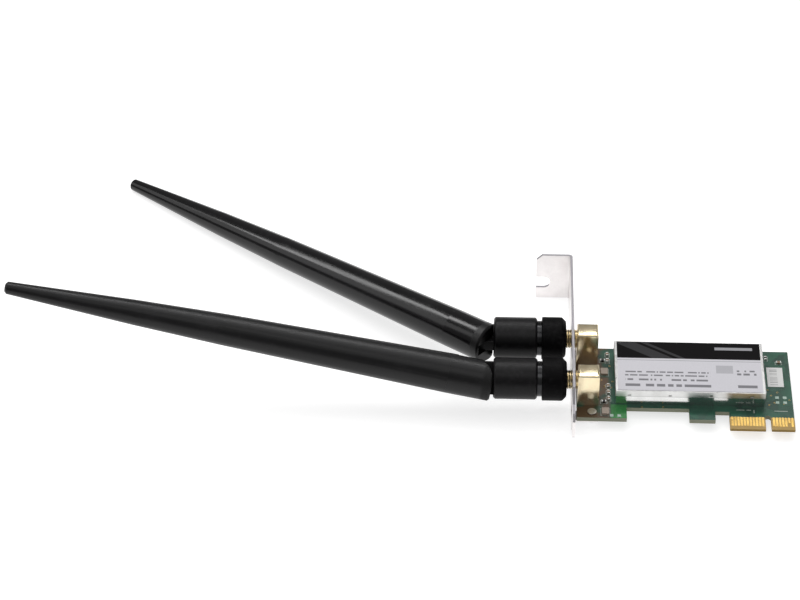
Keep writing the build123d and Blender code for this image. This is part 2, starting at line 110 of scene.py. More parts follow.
class NodeTree:
    """A tree of nodes that is written as expressions."""

    def __init__(self, tree: bpy.types.NodeTree) -> None:
        """Keep the tree that the nodes go into."""
        self.nodes = tree.nodes
        self.links = tree.links

    def node(
        self,
        kind: str,
        settings: Optional[Dict[str, Any]] = None,
        sockets: Optional[Dict[Any, Any]] = None,
    ) -> bpy.types.Node:
        """Add a node.

        Args:
            kind: the node's type.
            settings: its properties.
            sockets: values or links by socket name or number.

        Returns:
            The new node.
        """
        made = self.nodes.new(kind)
        for key, value in (settings or {}).items():
            setattr(made, key, value)
        for key, value in (sockets or {}).items():
            self.feed(made.inputs[key], value)
        return made

    def value(
        self,
        kind: str,
        settings: Optional[Dict[str, Any]] = None,
        sockets: Optional[Dict[Any, Any]] = None,
        output: Union[int, str] = 0,
    ) -> Sock:
        """Add a node and return one of its results."""
        return Sock(self, self.node(kind, settings, sockets).outputs[output])

    def feed(self, socket: bpy.types.NodeSocket, value: Any) -> None:
        """Link an input or set its value.

        Args:
            socket: the input.
            value: a Sock, a number, a vector, a colour or a material.
        """
        if isinstance(value, Sock):
            self.links.new(value.socket, socket)
        elif socket.type == "RGBA":
            socket.default_value = (*value[:3], 1.0)
        else:
            socket.default_value = value

    def math(self, operation: str, *values: Value, clamp: bool = False) -> Sock:
        """Return the result of a Math node, kept between 0 and 1 if it clamps."""
        settings = {"operation": operation, "use_clamp": clamp}
        return self.value("ShaderNodeMath", settings, dict(enumerate(values)))

    def vector_math(self, operation: str, first: Value, second: Value) -> Sock:
        """Return the result of a Vector Math node."""
        output = "Value" if operation == "DOT_PRODUCT" else 0
        return self.value("ShaderNodeVectorMath", {"operation": operation}, {0: first, 1: second}, output)

    def vector(self, *parts: Value) -> Sock:
        """Return a vector from its parts."""
        return self.value("ShaderNodeCombineXYZ", sockets=dict(enumerate(parts)))

    def parts(self, vector: Sock) -> List[Sock]:
        """Return the three parts of a vector."""
        made = self.node("ShaderNodeSeparateXYZ", sockets={0: vector})
        return [Sock(self, part) for part in made.outputs]


class ShaderTree(NodeTree):
    """A material whose nodes are made from expressions; lengths are in millimetres."""

    def __init__(self, name: str) -> None:
        """Start a material with a Principled surface.

        Args:
            name: the material's name.
        """
        self.material = bpy.data.materials.new(name)
        self.material.use_nodes = True
        super().__init__(self.material.node_tree)
        self.nodes.clear()
        self.surface = self.node("ShaderNodeBsdfPrincipled")
        self.node("ShaderNodeOutputMaterial", sockets={"Surface": Sock(self, self.surface.outputs[0])})
        place = self.value("ShaderNodeTexCoord", output="Object")
        self.point = self.vector_math("MULTIPLY", place, [1 / MM] * 3)
        self.x, self.y, self.z = self.parts(self.point)

    def set(self, **inputs: Any) -> None:
        """Set inputs of the Principled surface, with _ for a space in the name."""
        for key, value in inputs.items():
            self.feed(self.surface.inputs[key.replace("_", " ")], value)

    def fed(self, name: str) -> Sock:
        """Return what feeds an input of the Principled surface."""
        return Sock(self, self.surface.inputs[name].links[0].from_socket)

    def step(self, value: Sock, edge: float, soft: float) -> Sock:
        """Return a step from 0 to 1 at an edge, as wide as soft; a negative one steps down."""
        return self.math("MULTIPLY_ADD", value, 1 / soft, 0.5 - edge / soft, clamp=True)

    def band(self, value: Sock, low: float, high: float, soft: float = 0.06) -> Sock:
        """Return a mask that is 1 between two values."""
        return self.step(value, low, soft) * self.step(value, high, -soft)

    def field_mask(self, low: Point2, high: Point2, soft: float = 0.06) -> Sock:
        """Return the mask of a rectangle in X and Y."""
        return self.band(self.x, low[0], high[0], soft) * self.band(self.y, low[1], high[1], soft)

    def levelness(self) -> Sock:
        """Return 1 on faces that look straight up or down and 0 on upright faces."""
        return abs(self.parts(self.value("ShaderNodeNewGeometry", output="Normal"))[2])

    def along(self, start: Point3, direction: Point3) -> Sock:
        """Return the distance of a point along a direction from a start."""
        return self.vector_math("DOT_PRODUCT", self.vector_math("SUBTRACT", self.point, start), direction)

    def noise(self, size: float, detail: float = 2.0, stretch: Optional[Point3] = None) -> Sock:
        """Return a soft noise.

        Args:
            size: the size of its features.
            detail: the number of finer layers.
            stretch: a unit direction along which the features are drawn out.

        Returns:
            The noise, about 0 to 1.
        """
        place = self.point
        if stretch is not None:
            along = self.vector_math("DOT_PRODUCT", place, stretch)
            drawn = self.vector_math("MULTIPLY", along, [DRAWN_OUT * part for part in stretch])
            place = self.vector_math("SUBTRACT", place, drawn)
        sockets = {"Vector": place, "Scale": 1 / size, "Detail": detail}
        return self.value("ShaderNodeTexNoise", sockets=sockets)

    def cell_noise(self, column: Value, row: Value) -> Sock:
        """Return one random value for each pair of numbers."""
        sockets = {"Vector": self.vector(column, row)}
        return self.value("ShaderNodeTexWhiteNoise", {"noise_dimensions": "2D"}, sockets, "Value")

    def mix(self, mask: Value, first: Value, second: Value, blend: str = "MIX") -> Sock:
        """Return the first colour where the mask is 0 and the second blended in where it is 1."""
        settings = {"data_type": "RGBA", "blend_type": blend}
        return self.value("ShaderNodeMix", settings, {0: mask, 6: first, 7: second}, 2)

    def ramp(self, value: Sock, stops: Sequence[Tuple[float, Colour]]) -> Sock:
        """Return the colour of a ramp at a value.

        Args:
            value: where the ramp is read.
            stops: positions in rising order, with their colours.

        Returns:
            The colour.
        """
        made = self.node("ShaderNodeValToRGB", sockets={0: value})
        elements = made.color_ramp.elements
        elements.remove(elements[-1])
        for number, (position, colour) in enumerate(stops):
            stop = elements.new(position) if number else elements[0]
            stop.position = position
            stop.color = (*colour, 1.0)
        return Sock(self, made.outputs[0])

    def bump(self, height: Sock, depth: float) -> None:
        """Turn a height of 0 to 1 into relief of a depth."""
        sockets = {"Height": height, "Distance": depth * MM, "Strength": 1.0}
        self.set(Normal=self.value("ShaderNodeBump", sockets=sockets))


@dataclass(frozen=True)
class Finish:
    """A named finish."""

    name: str

    def dress(self, tree: ShaderTree) -> None:
        """Build the finish in a tree."""
        raise NotImplementedError

    def material(self) -> bpy.types.Material:
        """Return the finish as a new material."""
        tree = ShaderTree(self.name)
        self.dress(tree)
        return tree.material


@dataclass(frozen=True)
class MouldedPlastic(Finish):
    """Moulded plastic with a fine grain, and streaks along a direction if it has one."""

    colour: Colour = (0.01, 0.01, 0.011)
    sheen: float = 0.4
    grain: float = 0.18
    grain_depth: float = 0.01
    shine: float = 0.5
    streak: Optional[Point3] = None
    cloud_size: ClassVar[float] = 9.0
    wear_size: ClassVar[float] = 1.4
    streak_size: ClassVar[float] = 0.7
    dark_gain: ClassVar[float] = 0.7
    pale_gain: ClassVar[float] = 1.9
    pale_lift: ClassVar[float] = 0.006

    def dress(self, tree: ShaderTree) -> None:
        """Build the finish.

        Args:
            tree: the material's tree.
        """
        clouds = tree.noise(self.cloud_size, 3.0)
        fine = tree.noise(self.grain)
        worn = tree.noise(self.wear_size, 4.0)
        height = fine
        if self.streak is not None:
            lines = tree.noise(self.streak_size, 3.0, self.streak)
            worn = 0.5 * worn + 0.5 * lines
            height = 0.6 * fine + 0.4 * lines
        pale = tuple(self.pale_gain * part + self.pale_lift for part in self.colour)
        dark = tuple(self.dark_gain * part for part in self.colour)
        base = tree.ramp(0.6 * worn + 0.4 * clouds, [(0.3, dark), (0.52, self.colour), (0.75, pale)])
        tree.set(Base_Color=base, Specular_IOR_Level=self.shine)
        tree.set(Roughness=self.sheen + 0.16 * (worn - 0.5) + 0.1 * (clouds - 0.5))
        tree.bump(height, self.grain_depth)


@dataclass(frozen=True)
class DarkEndPlastic(MouldedPlastic):
    """Moulded plastic that turns black and duller over a band at one end."""

    start: Point3 = (0.0, 0.0, 0.0)
    reach: float = 0.0
    end_black: Colour = (0.0016, 0.0014, 0.0016)
    end_fade: ClassVar[float] = 0.8
    end_dulling: ClassVar[float] = 0.22

    def dress(self, tree: ShaderTree) -> None:
        """Build the finish.

        Args:
            tree: the material's tree.
        """
        super().dress(tree)
        # past the reach from the start along the rod, the colour turns black and the surface duller
        end = tree.step(tree.along(self.start, self.streak), self.reach, -self.end_fade)
        tree.set(Base_Color=tree.mix(end, tree.fed("Base Color"), self.end_black))
        tree.set(Roughness=tree.fed("Roughness") + self.end_dulling * end)


class Lay(Enum):
    """The direction of the fine lines on a metal."""

    ALONG_X = (1.0, 0.0, 0.0)
    ALONG_Y = (0.0, 1.0, 0.0)
    ALONG_Z = (0.0, 0.0, 1.0)


@dataclass(frozen=True)
class PlatedMetal(Finish):
    """Plated metal with fine rolled lines, stains and small pits."""

    colour: Colour = (0.6, 0.6, 0.6)
    stain: Colour = (0.45, 0.44, 0.42)
    gloss: float = 0.25
    lay: Lay = Lay.ALONG_X
    lines: float = 0.12
    line_depth: float = 0.004
    stain_size: ClassVar[float] = 4.5
    pit_size: ClassVar[float] = 0.35

    def dress(self, tree: ShaderTree) -> None:
        """Build the finish.

        Args:
            tree: the material's tree.
        """
        lines = tree.noise(self.lines, 2.0, self.lay.value)
        stains = tree.noise(self.stain_size, 4.0)
        pits = tree.noise(self.pit_size, 1.0)
        base = tree.ramp(0.7 * stains + 0.3 * lines, [(0.36, self.stain), (0.6, self.colour)])
        tree.set(Base_Color=base, Metallic=1.0)
        tree.set(Roughness=self.gloss + 0.14 * (stains - 0.5) + 0.1 * (lines - 0.5))
        tree.bump(0.75 * lines + 0.25 * pits, self.line_depth)


@dataclass(frozen=True)
class StampedSheet(PlatedMetal):
    """Plated sheet, upright as it lies, whose cut edges are duller and greyer."""

    cut: Colour = (0.36, 0.35, 0.37)
    burr_size: ClassVar[float] = 0.2

    def dress(self, tree: ShaderTree) -> None:
        """Build the finish.

        Args:
            tree: the material's tree.
        """
        super().dress(tree)
        shear = tree.step(tree.levelness(), 0.6, 0.2)
        burr = tree.noise(self.burr_size)
        tree.set(Base_Color=tree.mix(shear, tree.fed("Base Color"), self.cut))
        tree.set(Roughness=tree.fed("Roughness") + shear * (0.1 + 0.2 * burr))


@dataclass(frozen=True)
class Speckled(Finish):
    """Fired ceramic, ferrite or ink with a fine speckle."""

    colour: Colour = (0.4, 0.3, 0.2)
    speckle: Colour = (0.3, 0.22, 0.14)
    sheen: float = 0.45
    grain: float = 0.16
    stops: Point2 = (0.38, 0.6)
    depth: float = 0.01

    def dress(self, tree: ShaderTree) -> None:
        """Build the finish.

        Args:
            tree: the material's tree.
        """
        grains = tree.noise(self.grain, 3.0)
        tree.set(Base_Color=tree.ramp(grains, list(zip(self.stops, (self.speckle, self.colour)))))
        tree.set(Roughness=self.sheen + 0.2 * (grains - 0.5))
        tree.bump(grains, self.depth)


@dataclass(frozen=True)
class SolderMask(Finish):
    """Green solder mask over copper tracks, with bare laminate at the edges."""

    mask: Colour = (0.008, 0.056, 0.034)
    over_copper: Colour = (0.012, 0.088, 0.05)
    leg_green: Colour = (0.03, 0.25, 0.045)
    leg_low: Point2 = (-51.4, -1.0)
    leg_high: Point2 = (-46.0, 10.6)
    laminate: Colour = (0.34, 0.36, 0.26)
    layer: Colour = (0.44, 0.42, 0.33)
    layer_height: float = 0.2
    bronze: Colour = (0.1, 0.043, 0.016)
    bronze_low: Point2 = (-64.0, -1.0)
    bronze_high: Point2 = (-51.8, 42.0)
    tongue_low: Point2 = (-12.8, -1.0)
    tongue_high: Point2 = (12.0, 5.5)
    bare: Colour = (0.42, 0.27, 0.075)
    cell: Point2 = (3.6, 4.68)
    track_pitch: float = 0.62
    track_share: float = 0.27
    upright_below: float = 0.38
    slant_above: float = 0.8
    pour_size: float = 5.5
    cloud_size: float = 7.0
    shade: Point2 = (0.75, 1.1)
    leg_share: float = 0.75
    bronze_share: float = 0.85
    layer_share: float = 0.35
    sheen: float = 0.3
    edge_dulling: float = 0.35
    relief: float = 0.02

    def tracks(self, tree: ShaderTree) -> Sock:
        """Return the mask of the copper: tracks that turn from cell to cell, and poured fields.

        Args:
            tree: the material's tree.

        Returns:
            The mask.
        """
        column = tree.math("FLOOR", tree.x / self.cell[0])
        row = tree.math("FLOOR", tree.y / self.cell[1])
        chance = tree.cell_noise(column, row)
        half = self.track_pitch / 2
        lines_x = tree.math("PINGPONG", tree.x, half)
        lines_y = tree.math("PINGPONG", tree.y, half)
        lines_slant = tree.math("PINGPONG", DIAGONAL * (tree.x + tree.y), half)
        upright = chance < self.upright_below
        slant = chance > self.slant_above
        across = upright * lines_x + slant * lines_slant + (1.0 - upright - slant) * lines_y
        tracks = tree.step(across, self.track_pitch * self.track_share, 0.05)
        pour = tree.noise(self.pour_size, 1.0) > 0.52
        return tree.math("MAXIMUM", tracks * (tree.cell_noise(row, column) > 0.3), pour)

    def dress(self, tree: ShaderTree) -> None:
        """Build the finish.

        Args:
            tree: the material's tree.
        """
        copper = self.tracks(tree)
        clouds = tree.noise(self.cloud_size)
        dim, bright = ((share,) * 3 for share in self.shade)
        shade = tree.ramp(clouds, [(0.3, dim), (0.7, bright)])
        face = tree.mix(1.0, tree.mix(copper, self.mask, self.over_copper), shade, "MULTIPLY")
        leg = tree.field_mask(self.leg_low, self.leg_high, 0.5)
        face = tree.mix(self.leg_share * leg, face, self.leg_green)
        ground = tree.field_mask(self.bronze_low, self.bronze_high, 1.2) * tree.step(clouds, 0.42, 0.1)
        face = tree.mix(self.bronze_share * ground, face, self.bronze)
        tongue = tree.field_mask(self.tongue_low, self.tongue_high, 0.1)
        face = tree.mix(tongue, face, self.bare)
        edge = tree.step(tree.levelness(), 0.45, -0.1)
        layers = tree.step(tree.math("PINGPONG", tree.z, self.layer_height), self.layer_height / 2, 0.08)
        side = tree.mix(self.layer_share * layers, self.laminate, self.layer)
        side = tree.mix(tongue, side, self.bare)
        tree.set(Base_Color=tree.mix(edge, face, side))
        worn = tree.noise(0.8, 3.0)
        tree.set(Roughness=self.sheen + self.edge_dulling * edge + 0.12 * (worn - 0.5))
        tree.bump(0.7 * copper + 0.3 * tree.noise(0.25), self.relief)


def paper_tone(tree: ShaderTree, speck: Sock, paper: Colour, dim: float) -> Sock:
    """Return the colour of paper whose fibres are dimmer by a share."""
    return tree.ramp(speck, [(0.3, tuple(dim * part for part in paper)), (0.6, paper)])


@dataclass(frozen=True)
class PrintedLabel(Finish):
    """A paper label with a dark band at its far side and rows of plain bars."""

    low: Point2 = (0.0, 0.0)
    high: Point2 = (1.0, 1.0)
    band_depth: float = 8.4
    wedges: Tuple[Point2, ...] = ((12.0, 19.0), (21.0, 23.0))
    wedge_slope: float = 1.6
    stripe: Zone = (15.0, 3.6, 2.5, 2.2)
    block: Zone = (15.0, 9.2, 9.4, 13.2)
    rule: Point2 = (1.15, 0.8)
    long_rows: Tuple[Point2, ...] = ((2.6, 1.3), (5.4, 0.9), (7.6, 0.7), (9.3, 0.7))
    long_margins: Point2 = (2.4, 17.0)
    short_rows: Tuple[Point2, ...] = ((2.7, 1.4), (8.9, 1.0), (10.5, 0.8))
    short_margins: Point2 = (8.2, 1.8)
    bar_share: float = 0.7
    bar_gaps: float = 0.26
    shine: float = 0.04
    paper: Colour = (0.66, 0.65, 0.69)
    ink: Colour = (0.006, 0.0055, 0.006)
    faint_ink: Colour = (0.05, 0.05, 0.053)
    grey: Colour = (0.12, 0.12, 0.13)
    pale_grey: Colour = (0.33, 0.33, 0.35)

    def row(self, tree: ShaderTree, level: float, height: float, left: float, right: float) -> Sock:
        """Return the mask of one row of short bars.

        Args:
            tree: the material's tree.
            level: Y of the row's middle.
            height: the height of its bars.
            left: X where the row starts.
            right: X where the row ends.

        Returns:
            The mask.
        """
        inside = tree.field_mask((left, level - height / 2), (right, level + height / 2), 0.12)
        column = tree.math("FLOOR", tree.x / (self.bar_share * height))
        return inside * (tree.cell_noise(column, level) > self.bar_gaps)

    def marks(self, tree: ShaderTree) -> Value:
        """Return the mask of all the rows.

        Args:
            tree: the material's tree.

        Returns:
            The mask.
        """
        front, left, right = self.low[1], self.low[0], self.high[0]
        rows = [(row, left + self.long_margins[0], right - self.long_margins[1]) for row in self.long_rows]
        rows += [(row, *(right - part for part in self.short_margins)) for row in self.short_rows]
        marks: Value = 0.0
        for (level, height), start, end in rows:
            marks = tree.math("MAXIMUM", marks, self.row(tree, front + level, height, start, end))
        return marks

    def dress(self, tree: ShaderTree) -> None:
        """Build the finish.

        Args:
            tree: the material's tree.
        """
        (left, front), (right, back) = self.low, self.high
        line = back - self.band_depth
        slope = tree.x + self.wedge_slope * (tree.y - line)
        first, second = (tree.band(slope, left + start, left + end) for start, end in self.wedges)
        dark = tree.mix(0.8 * (first + second), self.ink, self.faint_ink)
        x0, y0, x1, y1 = self.stripe
        stripe = tree.field_mask((right - x0, back - y0), (right - x1, back - y1))
        dark = tree.mix(stripe, dark, self.pale_grey)
        speck = tree.noise(0.22, 3.0)
        pale = tree.mix(0.8 * self.marks(tree), paper_tone(tree, speck, self.paper, 0.93), self.grey)
        rule = tree.band(tree.y, line - self.rule[0], line - self.rule[1])
        pale = tree.mix(0.7 * rule, pale, self.pale_grey)
        x0, y0, x1, y1 = self.block
        block = tree.field_mask((right - x0, front + y0), (right - x1, front + y1))
        pale = tree.mix(0.55 * block, pale, self.pale_grey)
        band = tree.step(tree.y, line, 0.06)
        tree.set(Base_Color=tree.mix(band, pale, dark), Specular_IOR_Level=self.shine)
        tree.set(Roughness=0.46 + 0.14 * (speck - 0.5))
        tree.bump(tree.noise(0.6), 0.006)


@dataclass(frozen=True)
class LinedSticker(Finish):
    """A small paper sticker with lines of several widths along its length."""

    low: Point2 = (0.0, 0.0)
    high: Point2 = (1.0, 1.0)
    paper: Colour = (0.74, 0.74, 0.73)
    ink: Colour = (0.2, 0.2, 0.21)
    margins: Zone = (0.9, 0.8, 1.9, 0.8)
    line_step: float = 0.31
    line_seed: float = 3.0

    def dress(self, tree: ShaderTree) -> None:
        """Build the finish.

        Args:
            tree: the material's tree.
        """
        left, front, right, back = self.margins
        low = (self.low[0] + left, self.low[1] + front)
        inside = tree.field_mask(low, (self.high[0] - right, self.high[1] - back))
        lines = tree.cell_noise(tree.math("FLOOR", tree.y / self.line_step), self.line_seed) > 0.5
        speck = tree.noise(0.2, 3.0)
        fibre = paper_tone(tree, speck, self.paper, 0.92)
        tree.set(Base_Color=tree.mix(0.5 * inside * lines, fibre, self.ink))
        tree.set(Roughness=0.5 + 0.2 * (speck - 0.5))
        tree.bump(speck, 0.006)


class GeometryTree(NodeTree):
    """A Geometry Nodes tree with named sizes, run once and kept as a plain mesh."""

    def __init__(self, name: str, sizes: Sequence[str]) -> None:
        """Start a tree.

        Args:
            name: the tree's name.
            sizes: the names of its number inputs.
        """
        self.group = bpy.data.node_groups.new(name, "GeometryNodeTree")
        super().__init__(self.group)
        face = self.group.interface
        face.new_socket("Geometry", in_out="INPUT", socket_type="NodeSocketGeometry")
        for size in sizes:
            face.new_socket(size, in_out="INPUT", socket_type="NodeSocketFloat")
        face.new_socket("Geometry", in_out="OUTPUT", socket_type="NodeSocketGeometry")
        given = self.node("NodeGroupInput").outputs
        self.start = Sock(self, given["Geometry"])
        self.sizes = [Sock(self, given[size]) for size in sizes]

    def painted(self, geometry: Sock, material: bpy.types.Material) -> Sock:
        """Return a geometry with its material."""
        return self.value("GeometryNodeSetMaterial", sockets={"Geometry": geometry, "Material": material})

    def bent(self, geometry: Sock, place: Sock, share: Sock) -> Sock:
        """Return a geometry whose distance from the Z axis is multiplied by a share."""
        moved = self.vector_math("MULTIPLY", place, self.vector(share, share, 1.0))
        return self.value("GeometryNodeSetPosition", sockets={"Geometry": geometry, "Position": moved})

    def end(self, geometry: Sock) -> None:
        """Realize the instances and hand the geometry out."""
        real = self.value("GeometryNodeRealizeInstances", sockets={"Geometry": geometry})
        self.node("NodeGroupOutput", sockets={0: real})

    def run(self, obj: bpy.types.Object, sizes: Dict[str, float]) -> bpy.types.Object:
        """Run the tree on an object and keep the result as its mesh.

        Args:
            obj: the object that carries the starting points or mesh.
            sizes: the values of the number inputs, in millimetres.

        Returns:
            The object.
        """
        modifier = obj.modifiers.new(self.group.name, "NODES")
        modifier.node_group = self.group
        for item in self.group.interface.items_tree:
            if item.in_out == "INPUT" and item.name in sizes:
                modifier[item.identifier] = sizes[item.name] * MM
        return settle(obj)


def settle(obj: bpy.types.Object) -> bpy.types.Object:
    """Replace an object's mesh with its evaluated mesh and drop its modifiers.

    Args:
        obj: a mesh object.

    Returns:
        The object.
    """
    bpy.context.view_layer.update()
    graph = bpy.context.evaluated_depsgraph_get()
    mesh = bpy.data.meshes.new_from_object(obj.evaluated_get(graph), depsgraph=graph)
    obj.modifiers.clear()
    obj.data = mesh
    return obj


def new_object(name: str, mesh: bpy.types.Mesh) -> bpy.types.Object:
    """Link a mesh into the scene as an object at the origin.

    Args:
        name: the object's name.
        mesh: its mesh.

    Returns:
        The object.
    """
    obj = bpy.data.objects.new(name, mesh)
    bpy.context.scene.collection.objects.link(obj)
    return obj


def from_bmesh(name: str, bm: bmesh.types.BMesh) -> bpy.types.Object:
    """Turn a bmesh in millimetres into an object in metres.

    Args:
        name: the object's name.
        bm: the mesh, which is freed.

    Returns:
        The object at the origin.
    """
    bmesh.ops.recalc_face_normals(bm, faces=bm.faces)
    bm.transform(Matrix.Diagonal((MM, MM, MM, 1.0)))
    mesh = bpy.data.meshes.new(name)
    bm.to_mesh(mesh)
    bm.free()
    return new_object(name, mesh)


def smooth(obj: bpy.types.Object, angle: float = 32.0) -> bpy.types.Object:
    """Shade an object smooth.

    Args:
        obj: a mesh object.
        angle: edges above this many degrees stay sharp.

    Returns:
        The object.
    """
    for polygon in obj.data.polygons:
        polygon.use_smooth = True
    obj.data.set_sharp_from_angle(angle=math.radians(angle))
    return obj


def add_box(bm: bmesh.types.BMesh, low: Sequence[float], high: Sequence[float]) -> bmesh.types.BMesh:
    """Add a box to a bmesh.

    Args:
        bm: the mesh.
        low: the box's lowest corner.
        high: its highest corner.

    Returns:
        The mesh.
    """
    first, last = Vector(low), Vector(high)
    size = Matrix.Diagonal((*(last - first), 1.0))
    bmesh.ops.create_cube(bm, size=1.0, matrix=Matrix.Translation((first + last) / 2) @ size)
    return bm


def lathe(profile: Sequence[Point2], segments: int) -> bmesh.types.BMesh:
    """Turn a closed outline of radius and height pairs round Z.

    Args:
        profile: the outline in millimetres.
        segments: steps round the axis.

    Returns:
        The closed mesh.
    """
    bm = bmesh.new()
    turns = [2 * math.pi * step / segments for step in range(segments)]
    rings = []
    for radius, height in profile:
        ring = turns if radius > MERGE else turns[:1]
        rings.append([bm.verts.new((radius * math.cos(t), radius * math.sin(t), height)) for t in ring])
    for index, ring in enumerate(rings):
        other = rings[(index + 1) % len(rings)]
        for step in range(segments):
            after = step + 1
            corners = [ring[step % len(ring)], ring[after % len(ring)]]
            corners += [other[after % len(other)], other[step % len(other)]]
            unique = list(dict.fromkeys(corners))
            if len(unique) > 2:
                bm.faces.new(unique)
    return bm


def node_bmesh(node: str) -> bmesh.types.BMesh:
    """Return a CAD node's mesh in metres with its triangles joined.

    Args:
        node: the node's name.

    Returns:
        The mesh.
    """
    bm = bmesh.new()
    bm.from_mesh(frame["nodes"][node].data)
    bmesh.ops.remove_doubles(bm, verts=bm.verts, dist=MERGE)
    return bm


def refined(node: str, name: str, bevel: float) -> bpy.types.Object:
    """Return a copy of a CAD node with its flat faces merged and its sharp edges rounded.

    Args:
        node: the node to copy.
        name: the copy's name.
        bevel: the width of the rounding in millimetres.

    Returns:
        The copy, shaded smooth.
    """
    flat, crease = math.radians(0.5), math.radians(30.0)
    bm = node_bmesh(node)
    bmesh.ops.dissolve_limit(bm, angle_limit=flat, verts=bm.verts, edges=bm.edges)
    sharp = [edge for edge in bm.edges if edge.is_manifold and edge.calc_face_angle() > crease]
    rounding = {"offset": bevel * MM, "segments": 2, "profile": 0.5, "clamp_overlap": True}
    bmesh.ops.bevel(bm, geom=sharp, affect="EDGES", **rounding)
    mesh = bpy.data.meshes.new(name)
    bm.to_mesh(mesh)
    bm.free()
    obj = smooth(new_object(name, mesh))
    even = obj.modifiers.new("even_shading", "WEIGHTED_NORMAL")
    even.mode = "FACE_AREA"
    even.weight = 100
    even.keep_sharp = True
    return settle(obj)


class Carve(Enum):
    """How a carving step changes a piece."""

    CUT = "DIFFERENCE"
    JOIN = "UNION"


def carve(obj: bpy.types.Object, how: Carve, tool: bmesh.types.BMesh) -> None:
    """Cut a piece with a tool, or join the tool to it.

    Args:
        obj: the piece.
        how: the kind of step.
        tool: the tool's mesh in millimetres, which is freed.
    """
    helper = from_bmesh("carving_tool", tool)
    step = obj.modifiers.new("carve", "BOOLEAN")
    step.operation = how.value
    step.object = helper
    step.solver = "EXACT"
    settle(obj)
    bpy.data.objects.remove(helper)


def round_edges(obj: bpy.types.Object, width: float, angle: float = 35.0, weld: float = 0.002) -> None:
    """Round the sharp edges of a piece with modifiers.

    Args:
        obj: the piece.
        width: the width of the rounding in millimetres.
        angle: edges sharper than this many degrees are rounded.
        weld: points closer than this are joined first.
    """
    join = obj.modifiers.new("weld", "WELD")
    join.merge_threshold = weld * MM
    soften = obj.modifiers.new("edges", "BEVEL")
    soften.width = width * MM
    soften.limit_method = "ANGLE"
    soften.angle_limit = math.radians(angle)
    soften.segments = 2


def solid_boxes(node: str) -> List[Tuple[Vector, Vector]]:
    """Return the lowest and highest corners of each separate solid of a node.

    Args:
        node: the node's name.

    Returns:
        The corners in millimetres, from left to right.
    """
    bm = node_bmesh(node)
    boxes = []
    waiting = set(bm.verts)
    while waiting:
        group = {waiting.pop()}
        edge = list(group)
        while edge:
            vert = edge.pop()
            fresh = {link.other_vert(vert) for link in vert.link_edges} - group
            group |= fresh
            edge += fresh
        waiting -= group
        sides = list(zip(*(vert.co / MM for vert in group)))
        boxes.append((Vector([min(side) for side in sides]), Vector([max(side) for side in sides])))
    bm.free()
    return sorted(boxes, key=lambda pair: tuple(round(part, 3) for part in pair[0]))


def joint(name: str) -> Dict[str, Any]:
    """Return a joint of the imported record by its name."""
    return next(item for item in frame["joints"] if item["name"] == name)


def dress_node(node: str, material: bpy.types.Material, bevel: float = 0.0) -> None:
    """Give a CAD node a material, and soften its edges if it has a bevel.

    Args:
        node: the node's name.
        material: its finish.
        bevel: the width of the softened edges in millimetres.
    """
    obj = frame["nodes"][node]
    obj.data.materials.clear()
    obj.data.materials.append(material)
    if bevel > 0:
        round_edges(obj, bevel, 40.0, 0.001)
    LOG.info("dressed %s", node)


def add_piece(
    obj: bpy.types.Object,
    body: str,
    material: Optional[bpy.types.Material] = None,
    stands_for: Sequence[str] = (),
) -> None:
    """Put a finished piece on its body.

    Args:
        obj: the piece.
        body: the body that it rides on.
        material: its finish, if it has none yet.
        stands_for: the CAD nodes that it is shown for.
    """
    if material is not None:
        obj.data.materials.clear()
        obj.data.materials.append(material)
    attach(obj, body)
    if stands_for:
        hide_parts(*stands_for)
    LOG.info("built %s on %s", obj.name, body)


CONTACT_GOLD = PlatedMetal("contact_gold", (0.8, 0.54, 0.16), (0.64, 0.41, 0.12), 0.3, Lay.ALONG_Y)
SOLDER_TIN = PlatedMetal("solder_tin", (0.78, 0.78, 0.76), (0.6, 0.6, 0.58), 0.3)
PAD_TIN = PlatedMetal("pad_tin", (0.3, 0.37, 0.33), (0.22, 0.29, 0.25), 0.45)
RING_GOLD = PlatedMetal("ring_gold", (0.72, 0.5, 0.2), (0.5, 0.33, 0.12), 0.32)
CAPACITOR = Speckled("capacitor_body", (0.3, 0.2, 0.13), (0.2, 0.13, 0.08))
INNER_CAPACITOR = Speckled("inner_capacitor_body", CAPACITOR.colour, CAPACITOR.speckle)
RESISTOR = Speckled("resistor_body", (0.02, 0.02, 0.021), (0.012, 0.012, 0.012), 0.3)
FILTER = Speckled("filter_body", (0.4, 0.33, 0.27), (0.31, 0.25, 0.2))
FERRITE = Speckled("ferrite", (0.05, 0.05, 0.053), (0.03, 0.03, 0.031))
SCREEN_INK = Speckled("screen_ink", (0.4, 0.45, 0.41), (0.288, 0.324, 0.2952), 0.55, 0.3, (0.35, 0.55), 0.006)
SHIELD_TIN = PlatedMetal("shield_tin", (0.7, 0.7, 0.69), (0.58, 0.58, 0.57), 0.3)
FRAME_TIN = PlatedMetal("frame_tin", (0.76, 0.76, 0.75), (0.66, 0.66, 0.65), 0.16)
CHIP_MOULD = MouldedPlastic("chip_mould", (0.014, 0.014, 0.015), 0.5, 0.12, 0.012)
BRACKET_TIN = StampedSheet(
    "bracket_tin", (0.88, 0.85, 0.845), (0.78, 0.75, 0.745), 0.34, Lay.ALONG_Y, 0.16, 0.003
)
RIVET_TIN = PlatedMetal("rivet_tin", (0.7, 0.7, 0.7), (0.5, 0.5, 0.5), 0.3)
JACK_GOLD = PlatedMetal("jack_gold", (0.92, 0.81, 0.57), (0.78, 0.65, 0.42), 0.22, Lay.ALONG_Z, 0.1, 0.002)
JACK_WHITE = MouldedPlastic("jack_white", (0.75, 0.73, 0.68))


